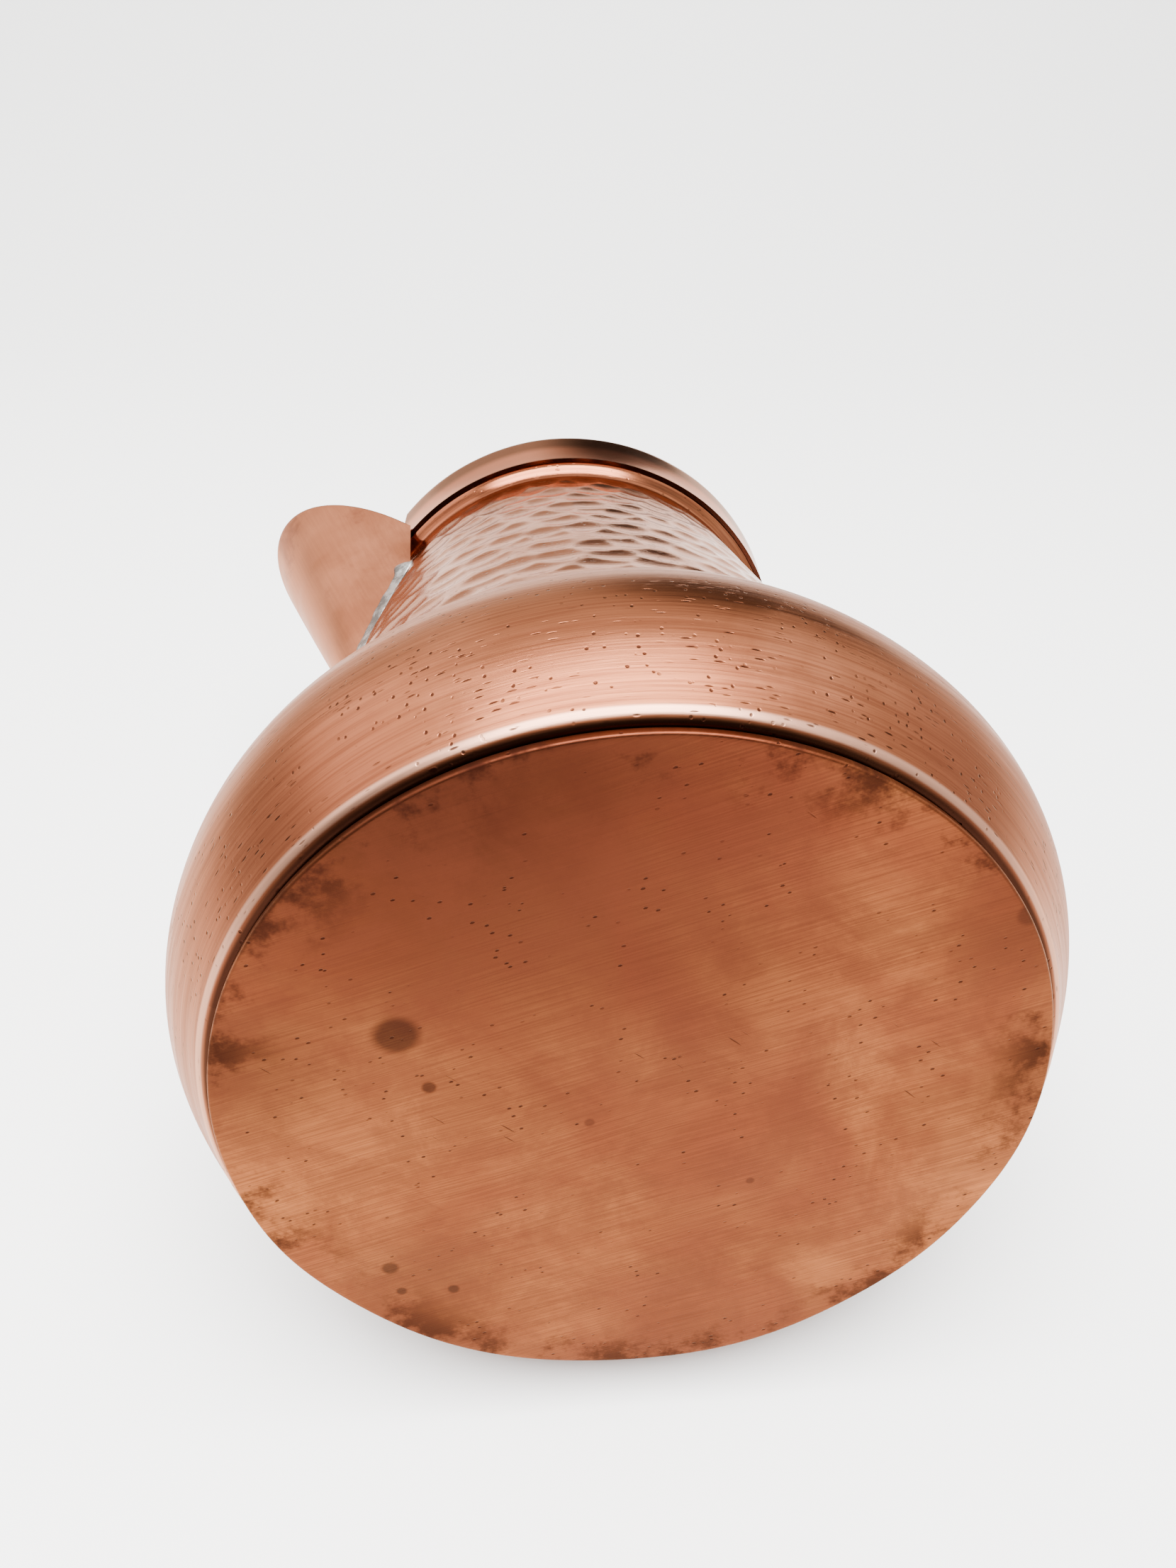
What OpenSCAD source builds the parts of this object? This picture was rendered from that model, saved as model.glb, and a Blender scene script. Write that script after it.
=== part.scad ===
/* [Sheet] */
// Thickness of the copper sheet in the bowl, neck, rim and spout
sheet_t = 1; // [0.8:0.1:1.4]

/* [Base] */
// Radius of the flat disc that the can stands on
base_r = 65; // [62:0.5:66]
// Thickness of the base disc
disc_t = 2; // [1.2:0.1:3]
// Rounding of the disc's edges
disc_round = 0.5; // [0.2:0.1:0.6]
// Thickness of the tin that joins the disc to the bowl
tin_t = 0.3; // [0.2:0.05:0.5]
// Width of the bowl's turned-in flange above the disc
flange_w = 9; // [6:0.5:14]

/* [Bowl] */
// How far the bowl's lower edge stands out past the base disc
foot_overhang = 2.7; // [1:0.1:5]
// Rounding of the bowl's lower edge
foot_round = 3; // [2:0.25:5]
// Largest radius of the belly
belly_r = 75.6; // [62:0.2:92]
// Height of the belly's widest ring above the table
belly_z = 25; // [22:0.5:32]
// Length over which the belly stays upright before it turns into the shoulder
belly_pull = 16; // [12:1:20]
// Height where the shoulder has become the tapering neck
root_z = 70; // [66:1:78]
// Length over which the shoulder eases into the neck's taper
root_pull = 20; // [16:1:24]

/* [Neck and rim] */
// Radius of the neck's narrowest ring
neck_r = 50.8; // [42:0.2:54]
// How much wider the neck is at its root
neck_spread = 9.9; // [6:0.1:12]
// Total height of the rim above the table
rim_z = 177; // [147:1:214]
// How far the rim's top stands out past the neck
rim_step = 4.6; // [3.6:0.1:8]
// Height of the folded rim band
band_h = 16; // [12:0.5:20]
// How much the band flares from its lower edge to its top
band_flare = 1.1; // [0:0.1:2]
// Height of the cove in which the neck steps out under the band
cove_h = 4; // [3:0.5:7]
// Radius of the wire that stiffens the rim
wire_r = 1.2; // [0.8:0.1:1.6]
// Where along the shoulder's curve the neck is joined to the bowl
joint_share = 0.84; // [0.76:0.02:0.92]

/* [Spout] */
// How far inside the neck's radius the spout cone's point lies
spout_inset = 10.9; // [9:0.1:13]
// Height from the spout cone's point, hidden inside the can, up to the rim
spout_h = 108; // [102:1:114]
// Half of the cone's opening angle
spout_half_angle = 14.2; // [13:0.1:17.2]
// Outward lean of the cone's axis
spout_lean = 5.3; // [4.5:0.1:7]
// How far below the rim the spout's cut edge starts
spout_edge_drop = 9.5; // [6:0.5:13]
// Rise angle of the cut edge towards the lip
spout_rise = 35.2; // [28:0.1:38]
// Ledge of neck left inside the spout for the tin to hold
spout_ledge = 4; // [3:0.5:6]
// Width of the tin seam round the spout
seam_w = 1.6; // [1:0.1:2.2]

/* [Handle] */
// Width of the handle strap
handle_w = 18; // [14:0.5:22]
// Thickness of the handle strap
handle_t = 2.6; // [2:0.1:4]
// How much wider each foot is than the strap
foot_spread = 2; // [1:0.5:6]
// How far the strap stands proud of its feet
strap_lift = 0.4; // [0.2:0.1:0.8]
// How far the handle stands out past the belly
handle_stand = 23.4; // [18:0.2:34]
// How far below the rim the handle's top bend lies
handle_top_drop = 18; // [17.5:0.5:24]
// Gap between the cove under the rim band and the handle's upper foot
upper_foot_gap = 5; // [2:0.5:10]
// Where along the shoulder's curve the lower foot's middle sits
lower_foot_share = 0.34; // [0.3:0.01:0.42]
// Length of each foot along the can
foot_len = 22; // [19:0.5:28]

/* [Rivets] */
// Radius of the rivet shanks
rivet_r = 2; // [1.5:0.1:2.5]
// Radius of the rivet heads
rivet_head_r = 3.8; // [3:0.1:4.5]
// Height of the rivet heads
rivet_head_h = 1.8; // [1:0.1:2.4]
// Distance between the two rivets of a foot
rivet_pitch = 11; // [9:0.5:13]
// Outer radius of the burr washers inside the can
burr_r = 4; // [3.2:0.1:5]
// Thickness of the burr washers
burr_t = 1; // [0.6:0.1:1.5]
// Radial clearance of a rivet shank in its holes
rivet_fit = 0.05; // [0.02:0.01:0.1]

/* [Hidden] */
$fn = 96;

copper = [0.80, 0.50, 0.38];
dark_copper = [0.62, 0.36, 0.26];
tin = [0.55, 0.53, 0.50];
brass = [0.78, 0.62, 0.36];

// ---- Curves ----
function curve(p, t) = let (u = 1 - t)
    u * u * u * p[0] + 3 * u * u * t * p[1] + 3 * u * t * t * p[2] + t * t * t * p[3];
function curve_points(p, from, to, steps) = [for (i = [0:steps]) curve(p, from + (to - from) * i / steps)];
function arc(centre, r, from, to, steps) =
    [for (i = [0:steps]) let (a = from + (to - from) * i / steps) centre + r * [cos(a), sin(a)]];
// Unit direction of a path at point i
function heading(p, i) = let (d = p[min(i + 1, len(p) - 1)] - p[max(i - 1, 0)]) d / norm(d);
// A path moved sideways: positive moves the can's wall inwards
function moved(p, d) = [for (i = [0:len(p) - 1]) let (h = heading(p, i)) p[i] + d * [-h[1], h[0]]];
function part_of(p, from, to) = [for (i = [from:to]) p[i]];
function reversed(p) = [for (i = [len(p) - 1:-1:0]) p[i]];
// Closed outline between a path and its moved copy
function strip(p, q) = concat(p, reversed(q));

// ---- The can's wall, from the flange at the base to the top of the neck ----
wall_z = disc_t + tin_t;
foot_r = base_r + foot_overhang;                 // radius where the bowl's lower edge turns up
foot_end = -30;                                  // angle at which the foot's rounding ends
foot_steps = 8;
belly_steps = 10;
shoulder_steps = 25;
foot_centre = [foot_r - foot_round, wall_z + foot_round];
foot_top = foot_centre + foot_round * [cos(foot_end), sin(foot_end)];
foot_heading = [-sin(foot_end), cos(foot_end)];
belly_reach = (belly_z - foot_top[1]) / 3;       // control length of the lower belly's curve
belly = [foot_top, foot_top + belly_reach * foot_heading, [belly_r, belly_z - belly_reach * 1.3],
         [belly_r, belly_z]];
cove_z = rim_z - band_h - cove_h;                // where the neck steps out under the rim band
root = [neck_r + neck_spread, root_z];
neck_dir = ([neck_r, cove_z] - root) / norm([neck_r, cove_z] - root);
neck_normal = [neck_dir[1], -neck_dir[0]];
shoulder = [[belly_r, belly_z], [belly_r, belly_z + belly_pull], root - root_pull * neck_dir, root];

// The rim band folds over the wire; the neck's top runs up inside it
rim_r = neck_r + rim_step;
band_low_z = rim_z - band_h;
wire_fit = 0.02;                                 // clearance between the wire and the sheet folded over it
fold_r = wire_r + wire_fit;                      // inner radius of the fold
wire_at = [rim_r - sheet_t - fold_r, rim_z - sheet_t - fold_r];
band_low = [rim_r - band_flare, band_low_z];
band_low_in = band_low - [sheet_t, 0];
band_top_in = wire_at + [fold_r, 0];
edge_gap = 0.2;                                  // gap between the neck's top edge and the wire
neck_top_z = wire_at[1] - wire_r - edge_gap;
neck_top = band_low_in + (band_top_in - band_low_in) * (neck_top_z - band_low_z) / (wire_at[1] - band_low_z);
cove = [[neck_r, cove_z], [neck_r, cove_z + cove_h * 0.55], band_low_in - [0, cove_h * 0.45], band_low_in];

braze_steps = 1;                                 // one step of the shoulder's curve is filled with braze
bowl_last = 1 + foot_steps + 1 + belly_steps + round(joint_share * shoulder_steps);
wall = concat([[base_r - flange_w, wall_z]],
              arc(foot_centre, foot_round, -90, foot_end, foot_steps),
              part_of(curve_points(belly, 0, 1, belly_steps), 1, belly_steps),
              part_of(curve_points(shoulder, 0, 1, shoulder_steps), 1, shoulder_steps),
              part_of(curve_points(cove, 0, 1, 6), 0, 6),
              [neck_top]);
wall_in = moved(wall, sheet_t);
neck_first = bowl_last + braze_steps;
cove_first = 2 + foot_steps + belly_steps + shoulder_steps;
wall_last = len(wall) - 1;

// The space inside the can's outer faces, with the rim band on it
module can_solid() {
    rotate_extrude() polygon(concat([[0, wall_z]], wall, [[band_top_in[0], rim_z], [0, rim_z]]));
    rotate_extrude() polygon([[0, band_low_z], band_low, [rim_r, wire_at[1]], [rim_r, rim_z], [0, rim_z]]);
}

module wall_piece(from, to) {
    rotate_extrude() polygon(strip(part_of(wall, from, to), part_of(wall_in, from, to)));
}

// ---- Spout cone, on the -X side ----
big = 200;                                       // larger than the can, for cutting blocks
spout_point = [neck_r - spout_inset, rim_z - spout_h];
spout_edge = [rim_r, rim_z - spout_edge_drop];
// Distance from the cone's point to the lip, along the cone's outermost line
outermost = spout_half_angle + spout_lean;
lip_dist = (spout_edge[1] - spout_point[1] - (spout_edge[0] - spout_point[0]) * tan(spout_rise))
    / (cos(outermost) - sin(outermost) * tan(spout_rise));
lip_spare = 10;                                  // the cone runs on past its lip before it is cut
cone_len = lip_dist * cos(spout_half_angle) + lip_spare;

// The spout's cone, made larger by d all round
module spout_cone(d = 0) {
    back = d / sin(spout_half_angle);
    translate([-spout_point[0], 0, spout_point[1]])
        rotate([0, -spout_lean, 0])
            translate([0, 0, -back])
                cylinder(h = cone_len + back, r1 = 0, r2 = (cone_len + back) * tan(spout_half_angle));
}

// Everything above the spout's cut edge, which rises from the rim to the lip
module above_spout_edge() {
    translate([-spout_edge[0], 0, spout_edge[1]])
        rotate([0, spout_rise, 0])
            translate([-big / 2, -big / 2, 0])
                cube(big);
}

// Height at which the spout's outermost line meets the neck
neck_slope = neck_dir[0] / neck_dir[1];
spout_foot_z = (root[0] - root_z * neck_slope - spout_point[0] + spout_point[1] * tan(outermost))
    / (tan(outermost) - neck_slope);

// The way through the neck and rim into the spout, inside the ledge that carries the tin
module spout_way() {
    low_z = spout_foot_z + 1.5 * spout_ledge;
    low_half = spout_ledge / 2;
    top_z = rim_z + sheet_t;
    top_half = spout_h * tan(spout_half_angle) - sheet_t - spout_ledge;
    rotate([90, 0, -90])
        linear_extrude(height = big)
            polygon([[-low_half, low_z], [low_half, low_z], [top_half, top_z], [-top_half, top_z]]);
}

// ---- Handle, on the +X side ----
upper_foot = [neck_r, cove_z] - (upper_foot_gap + foot_len / 2) * neck_dir;
upper_angle = atan2(neck_normal[1], neck_normal[0]);
lower_foot = curve(shoulder, lower_foot_share);
foot_step = 0.01;
lower_heading = let (d = curve(shoulder, lower_foot_share + foot_step) - curve(shoulder, lower_foot_share - foot_step))
    d / norm(d);
lower_normal = [lower_heading[1], -lower_heading[0]];
lower_angle = atan2(lower_normal[1], lower_normal[0]);
share_per_mm = 1 / norm(shoulder[3] - shoulder[0]);

// The strap leaves each foot just past the rivet heads and bends over in one long bow
head_gap = 0.3;
strap_from = rivet_pitch / 2 + rivet_head_r + head_gap;
handle_reach = belly_r + handle_stand;
bow_out = handle_t / 2 + strap_lift;             // from the can's face to the middle of the strap
bow_start = upper_foot + bow_out * neck_normal + strap_from * neck_dir;
bow_top = [(neck_r + handle_reach) / 2, rim_z - handle_top_drop];
bow_side = [handle_reach - handle_t / 2, (bow_top[1] + lower_foot[1]) * 0.56];
bow_end = curve(shoulder, lower_foot_share + strap_from * share_per_mm) + lower_normal * bow_out;
bow_steps = 10;
start_pull = 8;                                  // control lengths of the bow's three curves
top_pull = 15;
side_pull = 25;
end_pull = 20;
bow = concat(
    curve_points([bow_start, bow_start + start_pull * neck_dir, bow_top - [top_pull, 0], bow_top], 0, 1, bow_steps),
    part_of(curve_points([bow_top, bow_top + [top_pull, 0], bow_side + [0, side_pull], bow_side],
                         0, 1, bow_steps), 1, bow_steps),
    part_of(curve_points([bow_side, bow_side - [0, side_pull], bow_end + end_pull * lower_heading, bow_end],
                         0, 1, bow_steps), 1, bow_steps));

// A foot is hammered to the wall's outer face: handle_t thick over the given points of the wall
module foot_on_wall(points) {
    foot_w = handle_w + foot_spread;
    difference() {
        intersection() {
            rotate_extrude() polygon(strip(moved(points, sheet_t), moved(points, -handle_t)));
            translate([0, -foot_w / 2, 0])
                cube([big, foot_w, rim_z]);
        }
        can_solid();
    }
}

// Puts children on the two rivet axes of a foot, with +Z pointing out of the can's face
module on_rivets(at, angle) {
    for (side = [-0.5, 0.5])
        translate([at[0], 0, at[1]])
            rotate([0, 90 - angle, 0])
                translate([-side * rivet_pitch, 0, 0])
                    children();
}

module rivet_hole() {
    translate([0, 0, -8])
        cylinder(h = 16, r = rivet_r + rivet_fit);
}

// A flat burr touches the curved wall with its edge, so its middle stands off by this much
upper_seat = let (r = upper_foot[0] - sheet_t) r - sqrt(r * r - burr_r * burr_r);
lower_seat = 2 * upper_seat;
peened_end = 0.6;                                // how far a shank's hammered end passes its burr

module rivet(seat) {
    head_seat = handle_t;
    shank_in = sheet_t + seat + burr_t + peened_end;
    dome_r = (rivet_head_r * rivet_head_r + rivet_head_h * rivet_head_h) / (2 * rivet_head_h);
    dome_half = asin(rivet_head_r / dome_r);
    rotate_extrude()
        polygon(concat([[0, -shank_in], [rivet_r, -shank_in], [rivet_r, head_seat]],
                       arc([0, head_seat + rivet_head_h - dome_r], dome_r, 90 - dome_half, 90, 8)));
}

module burr(seat) {
    translate([0, 0, -sheet_t - seat - burr_t])
        difference() {
            cylinder(h = burr_t, r = burr_r);
            translate([0, 0, -1])
                cylinder(h = burr_t + 2, r = rivet_r + rivet_fit);
        }
}

// ---- Nodes ----
module base_disc() {
    color(copper)
        rotate_extrude()
            polygon(concat([[0, 0]],
                           arc([base_r - disc_round, disc_round], disc_round, -90, 0, 6),
                           arc([base_r - disc_round, disc_t - disc_round], disc_round, 0, 90, 6),
                           [[0, disc_t]]));
}

module base_tin() {
    color(tin)
        translate([0, 0, disc_t])
            difference() {
                cylinder(h = tin_t, r = base_r - disc_round - 0.5);
                translate([0, 0, -1])
                    cylinder(h = tin_t + 2, r = base_r - flange_w + 0.5);
            }
}

module bowl() {
    color(copper)
        difference() {
            wall_piece(0, bowl_last);
            on_rivets(lower_foot, lower_angle) rivet_hole();
        }
}

module neck_braze() {
    color(brass)
        wall_piece(bowl_last, neck_first);
}

module neck() {
    color(copper)
        difference() {
            wall_piece(neck_first, wall_last);
            spout_way();
            on_rivets(upper_foot, upper_angle) rivet_hole();
        }
}

module rim_band() {
    color(copper)
        difference() {
            rotate_extrude()
                polygon(concat([band_low_in, band_low],
                               arc(wire_at, fold_r + sheet_t, 0, 200, 20),
                               arc(wire_at, fold_r, 200, 0, 20)));
            spout_way();
        }
}

module rim_wire() {
    color(dark_copper)
        difference() {
            rotate_extrude()
                translate(wire_at)
                    circle(r = wire_r, $fn = 32);
            spout_way();
        }
}

module spout() {
    color(copper)
        difference() {
            spout_cone();
            spout_cone(-sheet_t);
            can_solid();
            above_spout_edge();
        }
}

module spout_tin() {
    color(tin)
        difference() {
            intersection() {
                spout_cone(seam_w);
                rotate_extrude()
                    polygon(concat([[0, wall_z]], moved(part_of(wall, 0, cove_first), -seam_w), [[0, cove_z]]));
            }
            spout_cone();
            can_solid();
        }
}

module handle() {
    color(copper)
        difference() {
            union() {
                rotate([90, 0, 0])
                    linear_extrude(height = handle_w, center = true)
                        polygon(strip(moved(bow, handle_t / 2), moved(bow, -handle_t / 2)));
                foot_on_wall([for (end = [-0.5, 0.5]) upper_foot + end * foot_len * neck_dir]);
                foot_on_wall(curve_points(shoulder, lower_foot_share - foot_len / 2 * share_per_mm,
                                          lower_foot_share + foot_len / 2 * share_per_mm, 8));
            }
            on_rivets(upper_foot, upper_angle) rivet_hole();
            on_rivets(lower_foot, lower_angle) rivet_hole();
        }
}

module upper_rivets() {
    color(dark_copper)
        on_rivets(upper_foot, upper_angle) rivet(upper_seat);
}

module upper_burrs() {
    color(dark_copper)
        on_rivets(upper_foot, upper_angle) burr(upper_seat);
}

module lower_rivets() {
    color(dark_copper)
        on_rivets(lower_foot, lower_angle) rivet(lower_seat);
}

module lower_burrs() {
    color(dark_copper)
        on_rivets(lower_foot, lower_angle) burr(lower_seat);
}

base_disc();
base_tin();
bowl();
neck_braze();
neck();
rim_band();
rim_wire();
spout();
spout_tin();
handle();
upper_rivets();
upper_burrs();
lower_rivets();
lower_burrs();
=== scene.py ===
import math

import bmesh
import bpy
import numpy as np
from mathutils import Matrix, Vector


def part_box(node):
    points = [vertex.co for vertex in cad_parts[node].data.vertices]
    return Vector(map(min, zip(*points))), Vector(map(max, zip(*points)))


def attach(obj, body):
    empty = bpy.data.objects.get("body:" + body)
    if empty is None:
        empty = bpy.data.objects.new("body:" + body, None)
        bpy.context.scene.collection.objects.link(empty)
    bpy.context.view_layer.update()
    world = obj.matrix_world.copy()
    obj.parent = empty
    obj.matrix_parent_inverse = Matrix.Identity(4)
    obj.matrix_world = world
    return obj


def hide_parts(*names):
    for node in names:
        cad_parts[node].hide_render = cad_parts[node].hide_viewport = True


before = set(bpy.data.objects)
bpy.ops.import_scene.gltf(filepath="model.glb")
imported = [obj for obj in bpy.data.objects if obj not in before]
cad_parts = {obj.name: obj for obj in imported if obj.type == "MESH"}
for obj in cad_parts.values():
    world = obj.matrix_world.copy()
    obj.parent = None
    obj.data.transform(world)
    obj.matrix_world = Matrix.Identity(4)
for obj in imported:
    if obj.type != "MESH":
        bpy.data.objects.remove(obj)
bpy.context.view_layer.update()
MM = 0.001

# ---- Sizes, from the frame where a node has them and as in the design elsewhere ----
disc_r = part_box("base_disc")[1].x
disc_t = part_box("base_disc")[1].z
wall_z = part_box("bowl")[0].z
belly_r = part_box("bowl")[1].y
rim_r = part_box("rim_band")[1].y
rim_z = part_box("rim_band")[1].z
handle_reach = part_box("handle")[1].x
SHEET = 1.0 * MM
FLANGE_W = 9.0 * MM
FOOT_R = disc_r + 2.7 * MM
FOOT_ROUND = 3.0 * MM
BELLY_Z = 25.0 * MM
BELLY_PULL = 16.0 * MM
NECK_R = 50.8 * MM
ROOT = np.array([60.7, 70.0]) * MM
ROOT_PULL = 20.0 * MM
BAND_H = 16.0 * MM
BAND_FLARE = 1.1 * MM
COVE_H = 4.0 * MM
FOLD_R = 1.22 * MM                               # inner radius of the rim's fold
JOINT_SHARE = 0.84
NECK_SHARE = 0.88
BAND_LOW_Z = rim_z - BAND_H
COVE_Z = BAND_LOW_Z - COVE_H


# ---- Numbers and curves ----
def unit(v):
    return v / np.linalg.norm(v)


def curve(p, t):
    t = np.atleast_1d(t)[:, None]
    p = [np.asarray(q, float) for q in p]
    u = 1 - t
    return u**3 * p[0] + 3 * u * u * t * p[1] + 3 * u * t * t * p[2] + t**3 * p[3]


def arc(centre, r, start, end, steps):
    a = np.radians(np.linspace(start, end, steps + 1))
    return np.stack([centre[0] + r * np.cos(a), centre[1] + r * np.sin(a)], 1)


def smooth(x, low, high):
    t = np.clip((x - low) / (high - low), 0, 1)
    return t * t * (3 - 2 * t)


def moved(path, d):
    """The path moved sideways, towards the inside of the can."""
    h = np.gradient(path, axis=0)
    h /= np.linalg.norm(h, axis=1)[:, None]
    return path + d * np.stack([-h[:, 1], h[:, 0]], 1)


def waves(seed, count, low, high):
    """A few random waves over a surface: (turns, per metre of height, phase, size)."""
    rng = np.random.default_rng(seed)
    turns = rng.integers(low, high + 1, count)
    rise = rng.uniform(-60, 60, count)
    return [(turns[i], rise[i], rng.uniform(0, 2 * math.pi), rng.uniform(0.4, 1.0))
            for i in range(count)]


def wave_sum(angle, height, parts):
    total = sum(size * np.cos(n * angle + k * height + phase) for n, k, phase, size in parts)
    return total / math.sqrt(len(parts))


neck_dir = unit(np.array([NECK_R, COVE_Z]) - ROOT)
shoulder = [[belly_r, BELLY_Z], [belly_r, BELLY_Z + BELLY_PULL], ROOT - ROOT_PULL * neck_dir, ROOT]
foot_centre = np.array([FOOT_R - FOOT_ROUND, wall_z + FOOT_ROUND])
foot_turn = -30                                  # degrees at which the foot's rounding ends
foot_out = np.array([math.cos(math.radians(foot_turn)), math.sin(math.radians(foot_turn))])
foot_top = foot_centre + FOOT_ROUND * foot_out
foot_dir = np.array([-math.sin(math.radians(foot_turn)), math.cos(math.radians(foot_turn))])
belly_reach = (BELLY_Z - foot_top[1]) / 3
belly = [foot_top, foot_top + belly_reach * foot_dir,
         [belly_r, BELLY_Z - belly_reach * 1.3], [belly_r, BELLY_Z]]


# ---- Meshes ----
def make_object(name, verts, faces, material, node=None, slot=None, flat=False):
    mesh = bpy.data.meshes.new(name)
    mesh.from_pydata([tuple(map(float, v)) for v in verts], [], [tuple(map(int, f)) for f in faces])
    work = bmesh.new()
    work.from_mesh(mesh)
    bmesh.ops.remove_doubles(work, verts=work.verts, dist=1e-7)
    bmesh.ops.recalc_face_normals(work, faces=work.faces)
    work.to_mesh(mesh)
    work.free()
    mesh.update()
    if not flat:
        mesh.shade_smooth()
    piece = bpy.data.objects.new(name, mesh)
    bpy.context.scene.collection.objects.link(piece)
    mesh.materials.append(material)
    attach(piece, "root")
    if node:
        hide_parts(*([node] if isinstance(node, str) else node))
    return piece


def revolve(outline, around, shift=None):
    """Turns a closed outline round the can's axis.

    shift(angle, r, z, index) gives the distance by which each point moves outwards.
    """
    n = len(outline)
    angle = np.linspace(0, 2 * math.pi, around, endpoint=False)
    a, k = np.meshgrid(angle, np.arange(n), indexing="ij")
    r, z = outline[k, 0], outline[k, 1]
    if shift is not None:
        r = r + shift(a, r, z, k)
    verts = np.stack([r * np.cos(a), r * np.sin(a), z], -1).reshape(-1, 3)
    i, j = np.meshgrid(np.arange(around), np.arange(n), indexing="ij")
    i2, j2 = (i + 1) % around, (j + 1) % n
    faces = np.stack([i * n + j, i2 * n + j, i2 * n + j2, i * n + j2], -1).reshape(-1, 4)
    return verts, faces[:, ::-1]


def joined_loops(loops):
    """Joins closed loops of equal length into one skin, and closes its two ends."""
    n = len(loops[0])
    last = len(loops) - 1
    faces = [(i * n + j, (i + 1) * n + j, (i + 1) * n + (j + 1) % n, i * n + (j + 1) % n)
             for i in range(last) for j in range(n)]
    faces.append(tuple(range(n)))
    faces.append(tuple(range(last * n, (last + 1) * n)))
    return np.concatenate(loops), faces


def ring_outline(path, thickness):
    """Closed outline of a sheet between a path and its inner copy."""
    return np.concatenate([path[::-1], moved(path, thickness)])


def cut_away(piece, verts, faces):
    """Cuts a closed block out of a piece and throws the block away."""
    block_mesh = bpy.data.meshes.new("block")
    block_mesh.from_pydata([tuple(v) for v in verts], [], faces)
    block = bpy.data.objects.new("block", block_mesh)
    bpy.context.scene.collection.objects.link(block)
    mod = piece.modifiers.new("way", "BOOLEAN")
    mod.operation, mod.solver, mod.object = "DIFFERENCE", "EXACT", block
    done = bpy.data.meshes.new_from_object(piece.evaluated_get(bpy.context.evaluated_depsgraph_get()))
    piece.modifiers.clear()
    piece.data = done
    bpy.data.objects.remove(block)


def sharpen(piece, degrees):
    """Keeps the piece's edges crisp where its faces meet at more than this angle."""
    piece.data.set_sharp_from_angle(angle=math.radians(degrees))


# ---- Materials ----
def node_tree(name):
    material = bpy.data.materials.new(name)
    material.use_nodes = True
    return material, material.node_tree, material.node_tree.nodes["Principled BSDF"]


EDGE_TINT = (1.0, 0.76, 0.64, 1.0)


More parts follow.
